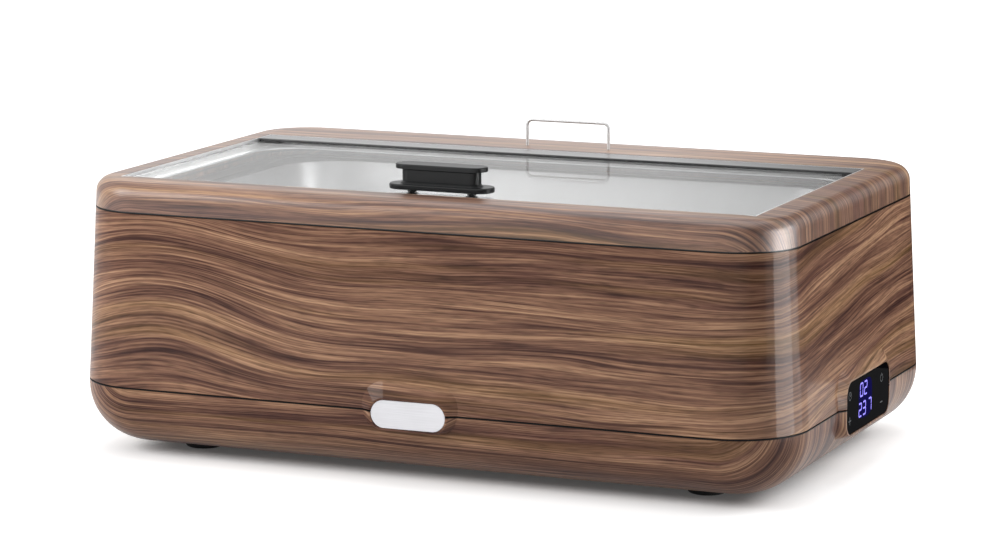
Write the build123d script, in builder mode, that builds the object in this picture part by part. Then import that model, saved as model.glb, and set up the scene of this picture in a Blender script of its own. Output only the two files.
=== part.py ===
"""Electric chafing dish for one full-size food pan, with a hinged glass lid in a lift-off rim.

X runs along the length, -Y is the front and Z is up. The origin is on the table under the middle.
Millimetres throughout.
"""

from build123d import *
import math
import os

os.makedirs("parts", exist_ok=True)

# Food pan, one full gastronorm size, which the housing goes round
pan_flange_length = 530.0
pan_flange_depth = 325.0
pan_flange_corner = 22.0
pan_flange_side = 13.0
pan_flange_front = 12.5
pan_flange_height = 1.7
pan_mouth_corner = 60.0
pan_height = 65.0
pan_draft = 8.0
pan_bottom_radius = 14.0

# Housing outline
side_margin = 35.0
front_margin = 30.0
body_corner = 58.0
draft_angle = 3.0
wall = 3.0
tray_bottom_z = 8.5
tray_height = 49.7
body_height = 138.5
rim_height = 24.5
tray_curve = 47.0
seam_gap = 1.0
seam_depth = 1.2

# Clearances
fit_gap = 0.4
face_gap = 0.2
pin_play = 0.03
thread_play = 0.05

# Rim and its serving opening
rim_side = 35.5
rim_front = 35.5
rim_back = 82.5
rim_skin = 4.0
rim_wall = 5.5
rim_edge_radius = 12.0
crown_drop = 1.8
crown_width = 24.0
rib_width = 8.0
rib_depth = 3.5
tongue_length = 4.0
tongue_thickness = 2.0

# Liner inside the opening
liner_sheet = 1.2
liner_height = 13.0
liner_lip = 4.0
liner_corner = 38.0
liner_screw_inset = 84.5

# Lid
glass_recess = 2.3
glass_thickness = 4.0
glass_side_gap = 0.8
hinge_setback = 8.5
hinge_drop = 2.2
hinge_pin_radius = 2.5
rail_width = 22.0
rail_height = 2.1
rail_back_reach = 5.5
rail_lip = 1.4
rail_round = 0.7
hinge_block_length = 13.0
hinge_block_front = 6.2
hinge_block_drop = 4.1
hinge_block_end = 2.0
bracket_length = 10.0
bracket_width = 12.0
bracket_height = 5.6
bracket_screw_offset = 4.4
bracket_screw_radius = 1.2
bracket_screw_bite = 3.9
bracket_head_radius = 2.4
bracket_head_height = 1.2
bracket_chamfer = 1.2
bumper_radius = 4.0
bumper_inset = 10.4

# Knob on the lid
knob_inset = 27.0
knob_screw_spacing = 50.0
knob_base_length = 86.4
knob_base_width = 24.0
knob_base_thickness = 4.3
knob_cap_length = 75.6
knob_cap_width = 20.0
knob_cap_thickness = 3.7
knob_neck_length = 65.0
knob_neck_width = 14.0
knob_neck_height = 11.8
knob_spacer_height = 2.5
knob_spacer_radius = 3.6
knob_screw_radius = 2.0
knob_screw_bite = 9.0
knob_foot_flare = 2.0
knob_waist_angle = 45
knob_edge_radius = 1.1
washer_thickness = 0.8
washer_radius = 4.8

# Wire loop behind the lid
loop_setback = 21.0
loop_width = 72.5
loop_height = 23.0
loop_wire_radius = 1.3
loop_bend = 4.5
loop_tail = 6.0
loop_nut_across = 5.5
loop_nut_height = 2.4

# Water pan and its ledge
deck_drop = 5.0
sheet = 1.0
deck_ledge = 5.0
deck_ledge_height = 4.0
shelf_clearance = 4.0
tank_clearance = 3.0
tank_height = 93.5
tank_draft = 2.0
tank_bottom_radius = 24.0

# Badge and control panel, each on a boss across the lower seam
boss_proud = 4.2
boss_root = 14.5
boss_border = 1.8
boss_side_flare = 1.8
boss_bottom_flare = 0.3
badge_top_flare = 2.3
panel_top_flare = 1.5
badge_length = 61.6
badge_height = 21.6
badge_thickness = 1.0
badge_recess = 0.5
badge_drop = 1.5
panel_length = 108.6
panel_height = 40.6
panel_corner = 11.0
panel_thickness = 2.0
panel_recess = 0.4
panel_border = 3.0
panel_drop = 0.2

# Feet and screws
foot_inset_x = 86.0
foot_inset_y = 76.0
foot_top_radius = 17.0
foot_bottom_radius = 15.0
foot_edge_radius = 3.0
screw_radius = 2.0
screw_head_radius = 3.8
screw_head_height = 2.6
foot_seat = 1.5
small_screw_radius = 1.5
small_head_radius = 2.8
small_head_height = 1.8
column_inset_x = 54.0
column_inset_y = 53.5
column_radius = 5.0
column_web = 2.5
column_screw_bite = 15.0
shelf_reach = 24.0
boss_radius = 5.0
boss_height = 10.0
seat_height = 3.0

# Power inlet in the back
inlet_inset = 100.0
inlet_rise = 43.0
inlet_flange_length = 50.0
inlet_flange_height = 28.0
inlet_flange_thickness = 2.2
inlet_body_length = 27.4
inlet_body_height = 20.0
inlet_body_depth = 22.0
inlet_screw_spacing = 40.0
inlet_flange_corner = 7.0
inlet_screw_head = 0.9
socket_chamfer = 4.8
inlet_recess = 3.2
inlet_pad = 3.5
inlet_pad_margin = 6.0
pin_width = 2.0
pin_height = 4.0
pin_length = 25.0
pin_setback = 4.6
pin_pitch = 7.0
socket_depth = 16.0
socket_wall = 1.6

# Heating under the tank
heater_length = 290.0
heater_depth = 170.0
heater_thickness = 3.0
element_radius = 3.5
element_side = 30.0
element_bend_gap = 5.0
element_inset = 15.0
element_overhang = 7.0
collar_radius = 4.0
collar_length = 6.0
terminal_radius = 1.8
terminal_length = 18.0
clamp_x = 65.0
clamp_end = 8.0
clamp_width = 14.0
clamp_thickness = 2.5
stud_radius = 2.5
stud_inset = 17.0
shield_margin = 20.0
shield_drop = 26.0
shield_rise = 10.0
heater_corner = 20.0
contact_gap = 0.1
nut_across = 8.0
nut_height = 4.0
cutout_radius = 8.0
cutout_height = 9.0
cutout_screw_y = 12.0
cutout_ear = 4.0
cutout_strap = 8.0
cutout_tab_pitch = 8.0
cutout_tab = 6.0
cutout_screw_bite = 2.1
probe_x = 40.0
probe_radius = 2.5
probe_length = 30.0
probe_clip = 14.0
spacer_wall = 2.0

# Electronics
module_length = 46.0
module_height = 32.0
board_thickness = 1.6
module_depth = 9.8
carrier_gap = 2.2
carrier_thickness = 2.0
carrier_overhang = 3.7
carrier_rise = 32.2
carrier_drop = 18.8
carrier_screw_inset = 18.0
carrier_screw_rise = 25.2
carrier_screw_bite = 6.0
spring_radius = 3.0
carrier_peg_pitch = 28.6
icon_front_inset = 8.3
icon_back_inset = 19.3
icon_rise = 9.7
icon_drop = 9.8
power_board_inset_x = 150.0
power_board_inset_y = 132.5
power_board_length = 110.0
power_board_depth = 84.0
power_post_height = 7.0
power_post_radius = 4.0
power_post_inset = 5.0
board_screw_bite = 5.0
transformer_length = 34.0
transformer_depth = 28.0
transformer_height = 22.0
winding_margin = 6.0
winding_proud = 3.0
relay_length = 19.0
relay_depth = 15.0
capacitor_radius = 5.0
capacitor_height = 14.0
capacitor_pitch = 14.0
terminal_pitch = 9.0
terminal_ways = 5
terminal_depth = 10.0
terminal_height = 12.0
terminal_entry = 4.0
transformer_place = (27.5, 14.0)
relay_place = (-9.0, 14.0)
capacitor_offset_y = -21.0
terminal_offset_x = -36.5
vent_x = -90.0
vent_length = 42.0
vent_width = 5.0
vent_pitch_x = 54.0
vent_pitch_y = 14.0
vent_columns = 3
vent_rows = 5

# Outline, levels and places worked out from the sizes above
body_length = pan_flange_length + 2 * side_margin
body_depth = pan_flange_depth + 2 * front_margin
pan_mouth_length = pan_flange_length - 2 * pan_flange_side
pan_mouth_depth = pan_flange_depth - 2 * pan_flange_front
lower_seam_z = tray_bottom_z + tray_height
upper_seam_z = lower_seam_z + body_height
rim_top_z = upper_seam_z + rim_height
opening_length = body_length - 2 * rim_side
opening_front = rim_front - body_depth / 2
opening_back = body_depth / 2 - rim_back
liner_bottom_z = rim_top_z - liner_height
glass_top_z = rim_top_z - glass_recess
hinge_y = opening_back - hinge_setback
hinge_z = glass_top_z - hinge_drop
rail_back_y = hinge_y + rail_back_reach
rail_front_y = rail_back_y - rail_width
knob_y = opening_front + knob_inset
loop_y = opening_back + loop_setback
loop_top_z = rim_top_z + loop_height
deck_z = upper_seam_z - deck_drop
pan_flange_z = deck_z + pan_flange_height
tank_length = pan_mouth_length + 2 * tank_clearance
tank_depth = pan_mouth_depth + 2 * tank_clearance
tank_corner = pan_mouth_corner + tank_clearance
tank_bottom_z = deck_z - tank_height
shield_z = tank_bottom_z - shield_drop
badge_z = lower_seam_z - badge_drop
panel_z = lower_seam_z - panel_drop
icon_ys = (icon_front_inset - panel_length / 2, panel_length / 2 - icon_back_inset)
icon_zs = (panel_z + icon_rise, panel_z - icon_drop)
element_span = heater_depth - 2 * element_side
stud_y = heater_depth / 2 - stud_inset
power_board_x = body_length / 2 - power_board_inset_x
power_board_y = body_depth / 2 - power_board_inset_y


def draw_in(z):
    """How far the leaning sides have moved in at height z."""
    return max(0.0, z - lower_seam_z) * math.tan(math.radians(draft_angle))


def outline(z, inset=0.0):
    """Rounded outline of the housing at height z, drawn in by inset."""
    move = draw_in(z) + inset
    with BuildSketch(Plane.XY.offset(z)) as plan:
        RectangleRounded(body_length - 2 * move, body_depth - 2 * move, body_corner - move)
    return plan.sketch


def ring(z, outer_inset, inner_inset):
    """Flat ring between two insets of the housing's outline at height z."""
    with BuildSketch(Plane.XY.offset(z)) as band:
        add(outline(z, outer_inset))
        add(outline(z, inner_inset), mode=Mode.SUBTRACT)
    return band.sketch


def opening_plan(z, grow=0.0):
    """Sharp-cornered serving opening at height z, made larger by grow on each side."""
    with BuildSketch(Plane.XY.offset(z)) as plan:
        with Locations((0, (opening_front + opening_back) / 2)):
            Rectangle(opening_length + 2 * grow, opening_back - opening_front + 2 * grow)
    return plan.sketch


def rounded_plan(z, length, depth, corner):
    """Rounded rectangle round the middle of the body at height z."""
    with BuildSketch(Plane.XY.offset(z)) as plan:
        RectangleRounded(length, depth, corner)
    return plan.sketch


def finish(part, name):
    """Label a finished piece and write its file."""
    part.label = name
    export_step(part, f"parts/{name}.step")


# Seats of the pieces that the housing carries
foot_x = body_length / 2 - foot_inset_x
foot_y = body_depth / 2 - foot_inset_y
column_x = body_length / 2 - column_inset_x
column_y = body_depth / 2 - column_inset_y
inlet_x = body_length / 2 - inlet_inset
inlet_z = lower_seam_z + inlet_rise
inlet_floor_y = body_depth / 2 - draw_in(inlet_z) - inlet_recess
boss_face_y = body_depth / 2 + boss_proud
boss_face_x = body_length / 2 + boss_proud
glass_bottom_z = glass_top_z - glass_thickness
skin_under_z = rim_top_z - rim_skin
rib_under_z = skin_under_z - rib_depth
flange_under_z = rib_under_z - liner_sheet
opening_half = opening_length / 2
ledge_z = deck_z - sheet
column_foot_z = tray_bottom_z + wall + seat_height
columns = [(x, y) for x in (-column_x, column_x) for y in (-column_y, column_y)]
feet = [(x, y) for x in (-foot_x, foot_x) for y in (-foot_y, foot_y)]
post_reach_x = power_board_length / 2 - power_post_inset
post_reach_y = power_board_depth / 2 - power_post_inset
board_posts = [
    (power_board_x + i * post_reach_x, power_board_y + j * post_reach_y) for i in (-1, 1) for j in (-1, 1)
]
upright = (Align.CENTER, Align.CENTER, Align.MIN)
hanging = (Align.CENTER, Align.CENTER, Align.MAX)
inlet_screw_seats = [
    Plane((inlet_x + side * inlet_screw_spacing / 2, inlet_floor_y, inlet_z), (1, 0, 0), (0, -1, 0))
    for side in (-1, 1)
]
inlet_pin_places = [
    (inlet_x - pin_pitch, inlet_floor_y, inlet_z - pin_width),
    (inlet_x, inlet_floor_y, inlet_z + pin_width),
    (inlet_x + pin_pitch, inlet_floor_y, inlet_z - pin_width),
]
glass_back_x = boss_face_x - panel_recess - panel_thickness
board_x = glass_back_x - module_depth - board_thickness
carrier_x = board_x - carrier_gap
carrier_half_length = panel_length / 2 + carrier_overhang
carrier_screw_y = carrier_half_length - carrier_screw_inset
carrier_screw_z = panel_z + carrier_screw_rise
carrier_seats = [
    Plane((carrier_x, side * carrier_screw_y, carrier_screw_z), (0, 1, 0), (1, 0, 0)) for side in (-1, 1)
]


def screw_set(seats, radius, length, head_radius, head_height):
    """Screws with their heads on each plane's origin and their shanks along its normal."""
    with BuildPart() as screws:
        for seat in seats:
            with Locations(seat):
                Cylinder(radius, length, align=upright)
                Cylinder(head_radius, head_height, align=hanging)
    return screws.part


def hex_nuts(places, bore, across, height):
    """Hexagon nuts hanging below each place."""
    with BuildPart() as nuts:
        with BuildSketch():
            with Locations(*[(x, y) for x, y, z in places]):
                RegularPolygon(across / 2, 6, major_radius=False)
                Circle(bore, mode=Mode.SUBTRACT)
        extrude(amount=-height)
    return Pos(0, 0, places[0][2]) * nuts.part


def badge_boss():
    """Tapered stadium boss that carries the badge."""
    with BuildPart() as boss:
        with BuildSketch(Plane.XZ.offset(boss_face_y)):
            with Locations((0, badge_z)):
                SlotOverall(badge_length + 2 * boss_border, badge_height + 2 * boss_border)
        with BuildSketch(Plane.XZ.offset(boss_face_y - boss_root)):
            with Locations((0, badge_z + (badge_top_flare - boss_bottom_flare) / 2 * boss_root)):
                SlotOverall(
                    badge_length + 2 * boss_side_flare * boss_root,
                    badge_height + (badge_top_flare + boss_bottom_flare) * boss_root,
                )
        loft(ruled=True)
    return boss.part


def panel_boss():
    """Tapered rounded boss that carries the control panel."""
    with BuildPart() as boss:
        with BuildSketch(Plane.YZ.offset(boss_face_x)):
            with Locations((0, panel_z)):
                RectangleRounded(
                    panel_length + 2 * boss_border, panel_height + 2 * boss_border, panel_corner + boss_border
                )
        with BuildSketch(Plane.YZ.offset(boss_face_x - boss_root)):
            with Locations((0, panel_z + (panel_top_flare - boss_bottom_flare) / 2 * boss_root)):
                RectangleRounded(
                    panel_length + 2 * boss_side_flare * boss_root,
                    panel_height + (panel_top_flare + boss_bottom_flare) * boss_root,
                    panel_corner + boss_root,
                )
        loft(ruled=True)
    return boss.part


def badge_pocket():
    """Seat of the badge plate in its boss."""
    with BuildPart() as pocket:
        with BuildSketch(Plane.XZ.offset(boss_face_y)):
            with Locations((0, badge_z)):
                SlotOverall(badge_length + 2 * fit_gap, badge_height + 2 * fit_gap)
        extrude(amount=-(badge_thickness + badge_recess))
    return pocket.part


def panel_pocket():
    """Seat of the panel glass and the window behind it."""
    with BuildPart() as pocket:
        with BuildSketch(Plane.YZ.offset(boss_face_x)):
            with Locations((0, panel_z)):
                RectangleRounded(
                    panel_length + 2 * fit_gap, panel_height + 2 * fit_gap, panel_corner + fit_gap
                )
        extrude(amount=-(panel_thickness + panel_recess))
        with BuildSketch(Plane.YZ.offset(boss_face_x)):
            with Locations((0, panel_z)):
                RectangleRounded(
                    panel_length - 2 * panel_border,
                    panel_height - 2 * panel_border,
                    panel_corner - panel_border,
                )
        extrude(amount=-2 * boss_root)
    return pocket.part


badge_solid = badge_boss()
panel_solid = panel_boss()
seam_plane = Plane.XY.offset(lower_seam_z)

# Base tray: shallow pan whose sides curve under
with BuildPart() as tray_cavity:
    extrude(outline(tray_bottom_z + wall, wall), amount=lower_seam_z - tray_bottom_z - wall)
    fillet(tray_cavity.faces().sort_by(Axis.Z)[0].edges(), tray_curve - wall)
    with Locations(*[(x, y, tray_bottom_z + wall) for x, y in columns]):
        Cylinder(boss_radius + seat_height, seat_height, align=upright, mode=Mode.SUBTRACT)
    with Locations(*[(x, y, tray_bottom_z + wall) for x, y in feet]):
        Cylinder(boss_radius, boss_height, align=upright, mode=Mode.SUBTRACT)
    with Locations(*[(x, y, tray_bottom_z + wall) for x, y in board_posts]):
        Cylinder(power_post_radius, power_post_height, align=upright, mode=Mode.SUBTRACT)

with BuildPart() as base_tray:
    extrude(outline(tray_bottom_z), amount=lower_seam_z - tray_bottom_z)
    fillet(base_tray.faces().sort_by(Axis.Z)[0].edges(), tray_curve)
    add(split(badge_solid, bisect_by=seam_plane, keep=Keep.BOTTOM, mode=Mode.PRIVATE))
    add(split(panel_solid, bisect_by=seam_plane, keep=Keep.BOTTOM, mode=Mode.PRIVATE))
    add(tray_cavity.part, mode=Mode.SUBTRACT)
    add(badge_pocket(), mode=Mode.SUBTRACT)
    add(panel_pocket(), mode=Mode.SUBTRACT)
    with Locations(*[(x, y, tray_bottom_z) for x, y in columns]):
        Cylinder(screw_radius + face_gap, 2 * (wall + seat_height), mode=Mode.SUBTRACT)
        Cylinder(screw_head_radius + fit_gap, 2 * wall, mode=Mode.SUBTRACT)
    with Locations(*[(x, y, tray_bottom_z) for x, y in feet]):
        Cylinder(screw_radius + thread_play, boss_height, align=upright, mode=Mode.SUBTRACT)
    with Locations(*[(x, y, tray_bottom_z + wall) for x, y in board_posts]):
        Cylinder(small_screw_radius + thread_play, power_post_height, align=upright, mode=Mode.SUBTRACT)
    with BuildSketch(Plane.XY.offset(tray_bottom_z)):
        with Locations((vent_x, 0)):
            with GridLocations(vent_pitch_x, vent_pitch_y, vent_columns, vent_rows):
                SlotOverall(vent_length, vent_width)
    extrude(amount=wall, mode=Mode.SUBTRACT)
finish(base_tray.part, "base_tray")

# Body shell: leaning walls, a ledge and corner shelves for the water pan, columns for the housing screws
with BuildPart() as pan_shelf:
    extrude(ring(ledge_z - deck_ledge_height, 0, wall + deck_ledge), amount=deck_ledge_height)
    with Locations(*[(x, y, ledge_z) for x, y in columns]):
        Box(2 * shelf_reach, 2 * shelf_reach, deck_ledge_height, align=hanging)
    extrude(
        rounded_plan(
            ledge_z - deck_ledge_height,
            tank_length + 2 * shelf_clearance,
            tank_depth + 2 * shelf_clearance,
            tank_corner + shelf_clearance,
        ),
        amount=deck_ledge_height,
        mode=Mode.SUBTRACT,
    )

with BuildPart() as shell_cavity:
    extrude(outline(lower_seam_z, wall), amount=upper_seam_z - lower_seam_z, taper=draft_angle)
    add(pan_shelf.part, mode=Mode.SUBTRACT)
    with Locations(*[(x, y, lower_seam_z) for x, y in columns]):
        Cylinder(column_radius, ledge_z - lower_seam_z, align=upright, mode=Mode.SUBTRACT)
    for x, y in columns:
        with Locations(Location((x, y, lower_seam_z), (0, 0, math.degrees(math.atan2(y, x))))):
            Box(
                2 * body_corner,
                column_web,
                ledge_z - lower_seam_z,
                align=(Align.MIN, Align.CENTER, Align.MIN),
                mode=Mode.SUBTRACT,
            )
    with Locations((inlet_x, inlet_floor_y, inlet_z)):
        Box(
            inlet_flange_length + 2 * inlet_pad_margin,
            2 * inlet_pad,
            inlet_flange_height + 2 * inlet_pad_margin,
            mode=Mode.SUBTRACT,
        )
    with Locations(*carrier_seats):
        Cylinder(boss_radius, 2 * boss_height, align=upright, mode=Mode.SUBTRACT)

with BuildPart() as lower_groove:
    with BuildSketch(Plane.XY.offset(lower_seam_z)):
        Rectangle(body_length + 4 * boss_proud, body_depth + 4 * boss_proud)
        add(outline(lower_seam_z, seam_depth), mode=Mode.SUBTRACT)
    extrude(amount=seam_gap)

with BuildPart() as body_shell:
    extrude(outline(lower_seam_z), amount=upper_seam_z - lower_seam_z, taper=draft_angle)
    add(split(badge_solid, bisect_by=seam_plane, keep=Keep.TOP, mode=Mode.PRIVATE))
    add(split(panel_solid, bisect_by=seam_plane, keep=Keep.TOP, mode=Mode.PRIVATE))
    add(shell_cavity.part, mode=Mode.SUBTRACT)
    add(lower_groove.part, mode=Mode.SUBTRACT)
    add(badge_pocket(), mode=Mode.SUBTRACT)
    add(panel_pocket(), mode=Mode.SUBTRACT)
    with Locations(*[(x, y, column_foot_z) for x, y in columns]):
        Cylinder(column_radius, lower_seam_z - column_foot_z, align=upright)
        Cylinder(
            screw_radius + thread_play, column_screw_bite + fit_gap, align=upright, mode=Mode.SUBTRACT
        )
    with Locations((inlet_x, inlet_floor_y, inlet_z)):
        Box(
            inlet_flange_length + 2 * fit_gap,
            2 * inlet_pad,
            inlet_flange_height + 2 * fit_gap,
            align=(Align.CENTER, Align.MIN, Align.CENTER),
            mode=Mode.SUBTRACT,
        )
        Box(
            inlet_body_length + 2 * fit_gap,
            4 * inlet_pad,
            inlet_body_height + 2 * fit_gap,
            mode=Mode.SUBTRACT,
        )
    with Locations(*inlet_screw_seats):
        Cylinder(small_screw_radius + thread_play, 4 * inlet_pad, mode=Mode.SUBTRACT)
    with Locations(*carrier_seats):
        Cylinder(
            small_screw_radius + thread_play, carrier_screw_bite + fit_gap, align=upright, mode=Mode.SUBTRACT
        )
finish(body_shell.part, "body_shell")

# Rim: rounded, slightly crowned moulding that lifts off at the upper seam
liner_y = (opening_front + opening_back) / 2
liner_half_depth = (opening_back - opening_front) / 2
liner_screws_at = [
    (x, liner_y + side * (liner_half_depth + rib_width / 2))
    for x in (liner_screw_inset - opening_half, 0, opening_half - liner_screw_inset)
    for side in (-1, 1)
]
liner_screw_bite = rib_depth + rim_skin / 2
with BuildPart() as rim_hollow:
    extrude(outline(upper_seam_z, rim_wall), amount=skin_under_z - upper_seam_z, taper=draft_angle)
    fillet(rim_hollow.faces().sort_by(Axis.Z)[-1].edges(), rim_edge_radius - rim_wall)
    extrude(opening_plan(rib_under_z, rib_width), amount=rib_depth, mode=Mode.SUBTRACT)

with BuildPart() as top_frame:
    extrude(outline(upper_seam_z), amount=rim_height, taper=draft_angle)
    top_face = top_frame.faces().sort_by(Axis.Z)[-1]
    chamfer(top_face.edges(), length=crown_width, length2=crown_drop, reference=top_face)
    fillet(
        [e for e in top_frame.edges() if abs(e.center().Z - (rim_top_z - crown_drop)) < crown_drop / 2],
        rim_edge_radius,
    )
    extrude(ring(upper_seam_z, wall + fit_gap, rim_wall), amount=-tongue_length)
    add(rim_hollow.part, mode=Mode.SUBTRACT)
    extrude(opening_plan(skin_under_z - rim_height), amount=2 * rim_height, mode=Mode.SUBTRACT)
    extrude(ring(upper_seam_z, -boss_proud, seam_depth), amount=seam_gap, mode=Mode.SUBTRACT)
    for side in (-1, 1):
        with Locations((side * opening_half, hinge_y, rib_under_z)):
            Box(
                2 * (bracket_length + 2 * fit_gap),
                bracket_width + 2 * fit_gap,
                bracket_height + fit_gap,
                align=upright,
                mode=Mode.SUBTRACT,
            )
    with Locations(*[(side * loop_width / 2, loop_y, skin_under_z) for side in (-1, 1)]):
        Cylinder(loop_wire_radius + face_gap / 2, 4 * rim_skin, mode=Mode.SUBTRACT)
    with Locations(*[(x, y, rib_under_z) for x, y in liner_screws_at]):
        Cylinder(
            small_screw_radius + thread_play, liner_screw_bite + fit_gap, align=upright, mode=Mode.SUBTRACT
        )
finish(top_frame.part, "top_frame")

# Liner: sheet frame inside the opening with a bottom lip, hung under the rim's rib by a flange
bracket_x = opening_half + fit_gap + bracket_length / 2
bracket_screw_places = [
    (side * bracket_x, hinge_y + way * bracket_screw_offset, flange_under_z)
    for side in (-1, 1)
    for way in (-1, 1)
]
with BuildPart() as frame_liner:
    extrude(opening_plan(liner_bottom_z, -face_gap), amount=rim_top_z - face_gap - liner_bottom_z)
    extrude(
        opening_plan(liner_bottom_z, -face_gap - liner_sheet),
        amount=rim_top_z - liner_bottom_z,
        mode=Mode.SUBTRACT,
    )
    with BuildSketch(Plane.XY.offset(liner_bottom_z)):
        add(opening_plan(liner_bottom_z, -face_gap))
        with Locations((0, liner_y)):
            RectangleRounded(
                opening_length - 2 * (liner_sheet + liner_lip),
                2 * (liner_half_depth - liner_sheet - liner_lip),
                liner_corner,
                mode=Mode.SUBTRACT,
            )
    extrude(amount=liner_sheet)
    with BuildSketch(Plane.XY.offset(flange_under_z)):
        add(opening_plan(flange_under_z, rib_width))
        with Locations(*[(side * (opening_half + rib_width), hinge_y) for side in (-1, 1)]):
            Rectangle(2 * (bracket_length + 2 * fit_gap - rib_width), bracket_width)
        add(opening_plan(flange_under_z, -face_gap), mode=Mode.SUBTRACT)
    extrude(amount=liner_sheet)
    with Locations(Location((0, hinge_y, hinge_z), (0, 90, 0))):
        Cylinder(hinge_pin_radius + fit_gap, opening_length, mode=Mode.SUBTRACT)
    with Locations(*[(x, y, flange_under_z) for x, y in liner_screws_at]):
        Cylinder(small_screw_radius + face_gap, 4 * liner_sheet, mode=Mode.SUBTRACT)
    with Locations(*bracket_screw_places):
        Cylinder(bracket_screw_radius + thread_play, 4 * liner_sheet, mode=Mode.SUBTRACT)
finish(frame_liner.part, "frame_liner")

liner_screws = screw_set(
    [Plane((x, y, flange_under_z)) for x, y in liner_screws_at],
    small_screw_radius,
    liner_sheet + liner_screw_bite,
    small_head_radius,
    small_head_height,
)
finish(liner_screws, "liner_screws")

bracket_screws = screw_set(
    [Plane(place) for place in bracket_screw_places],
    bracket_screw_radius,
    liner_sheet + bracket_screw_bite,
    bracket_head_radius,
    bracket_head_height,
)
finish(bracket_screws, "bracket_screws")

# Hinge brackets: one bearing block at each end of the lid's axis
for side, name in ((-1, "hinge_bracket_left"), (1, "hinge_bracket_right")):
    with BuildPart() as bracket:
        with Locations((side * bracket_x, hinge_y, rib_under_z)):
            Box(bracket_length, bracket_width, bracket_height, align=upright)
        chamfer(bracket.edges().filter_by(Axis.X).group_by(Axis.Z)[-1], bracket_chamfer)
        with Locations(Location((side * bracket_x, hinge_y, hinge_z), (0, 90, 0))):
            Cylinder(hinge_pin_radius + pin_play, 2 * bracket_length, mode=Mode.SUBTRACT)
        with Locations(*[place for place in bracket_screw_places if place[0] * side > 0]):
            Cylinder(bracket_screw_radius + thread_play, 2 * bracket_height, mode=Mode.SUBTRACT)
    finish(bracket.part, name)

# Bumpers on the liner's lip that carry the glass
with BuildPart() as lid_bumpers:
    with Locations(
        *[
            (side * (opening_half - bumper_inset), opening_front + bumper_inset, liner_bottom_z + liner_sheet)
            for side in (-1, 1)
        ]
    ):
        Cylinder(bumper_radius, glass_bottom_z - liner_bottom_z - liner_sheet, align=upright)
finish(lid_bumpers.part, "lid_bumpers")

# Glass lid: one clear sheet with two knob holes and its rear corners notched for the hinge blocks
lid_half = opening_half - face_gap - liner_sheet - glass_side_gap
lid_front_y = opening_front + face_gap + liner_sheet + glass_side_gap
lid_back_y = rail_back_y - rail_lip - face_gap
block_front_y = hinge_y - hinge_block_front
knob_screws_at = [(side * knob_screw_spacing / 2, knob_y) for side in (-1, 1)]
with BuildPart() as lid_glass:
    with BuildSketch(Plane.XY.offset(glass_bottom_z)):
        with Locations((0, (lid_front_y + lid_back_y) / 2)):
            Rectangle(2 * lid_half, lid_back_y - lid_front_y)
        with Locations(*[(side * lid_half, lid_back_y) for side in (-1, 1)]):
            Rectangle(
                2 * (hinge_block_length + face_gap),
                2 * (lid_back_y - block_front_y + face_gap),
                mode=Mode.SUBTRACT,
            )
        with Locations(*knob_screws_at):
            Circle(knob_screw_radius + pin_play + glass_side_gap, mode=Mode.SUBTRACT)
    extrude(amount=glass_thickness)
finish(lid_glass.part, "lid_glass")

# Rail bonded along the lid's rear edge, with a block at each end for the hinge pin
block_x = lid_half - hinge_block_length / 2
pin_start = lid_half - hinge_block_length + hinge_block_end
with BuildPart() as lid_rail:
    with BuildSketch(Plane.YZ.offset(-lid_half)):
        with BuildLine():
            Polyline(
                (rail_front_y, glass_top_z),
                (rail_front_y, glass_top_z + rail_height),
                (rail_back_y, glass_top_z + rail_height),
                (rail_back_y, glass_bottom_z),
                (rail_back_y - rail_lip, glass_bottom_z),
                (rail_back_y - rail_lip, glass_top_z),
                close=True,
            )
        make_face()
    extrude(amount=2 * lid_half)
    for side in (-1, 1):
        with Locations((side * block_x, (block_front_y + rail_back_y) / 2, glass_top_z)):
            Box(
                hinge_block_length,
                rail_back_y - block_front_y,
                glass_top_z - hinge_z + hinge_block_drop,
                align=hanging,
            )
    fillet(
        [
            edge
            for edge in lid_rail.edges().filter_by(Axis.X)
            if abs(edge.center().Y - rail_back_y) < face_gap or edge.center().Z < glass_bottom_z - face_gap
        ],
        rail_round,
    )
    fillet(
        [
            edge
            for edge in lid_rail.edges().filter_by(Axis.X)
            if abs(edge.center().Y - rail_front_y) < face_gap and edge.center().Z > glass_top_z + face_gap
        ],
        rail_round,
    )
    for side in (-1, 1):
        with Locations(Location((side * pin_start, hinge_y, hinge_z), (0, side * 90, 0))):
            Cylinder(hinge_pin_radius, hinge_block_length, align=upright, mode=Mode.SUBTRACT)
finish(lid_rail.part, "lid_rail")

# Hinge pins: pressed into the rail's blocks, turning in the brackets
pin_end = opening_half + fit_gap + bracket_length
with BuildPart() as hinge_pins:
    for side in (-1, 1):
        with Locations(Location((side * pin_start, hinge_y, hinge_z), (0, side * 90, 0))):
            Cylinder(hinge_pin_radius, pin_end - pin_start, align=upright)
finish(hinge_pins.part, "hinge_pins")

# Knob: spacers on the glass, an oval base plate, and a waisted neck with its oval cap in one moulding
knob_base_z = glass_top_z + knob_spacer_height
knob_neck_z = knob_base_z + knob_base_thickness
knob_cap_z = knob_neck_z + knob_neck_height
knob_plane = Plane((0, knob_y, 0))
with BuildPart() as grip_spacers:
    with BuildSketch(Plane.XY.offset(glass_top_z)):
        with Locations(*knob_screws_at):
            Circle(knob_spacer_radius)
            Circle(knob_screw_radius + thread_play, mode=Mode.SUBTRACT)
    extrude(amount=knob_spacer_height)
finish(grip_spacers.part, "grip_spacers")

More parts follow.
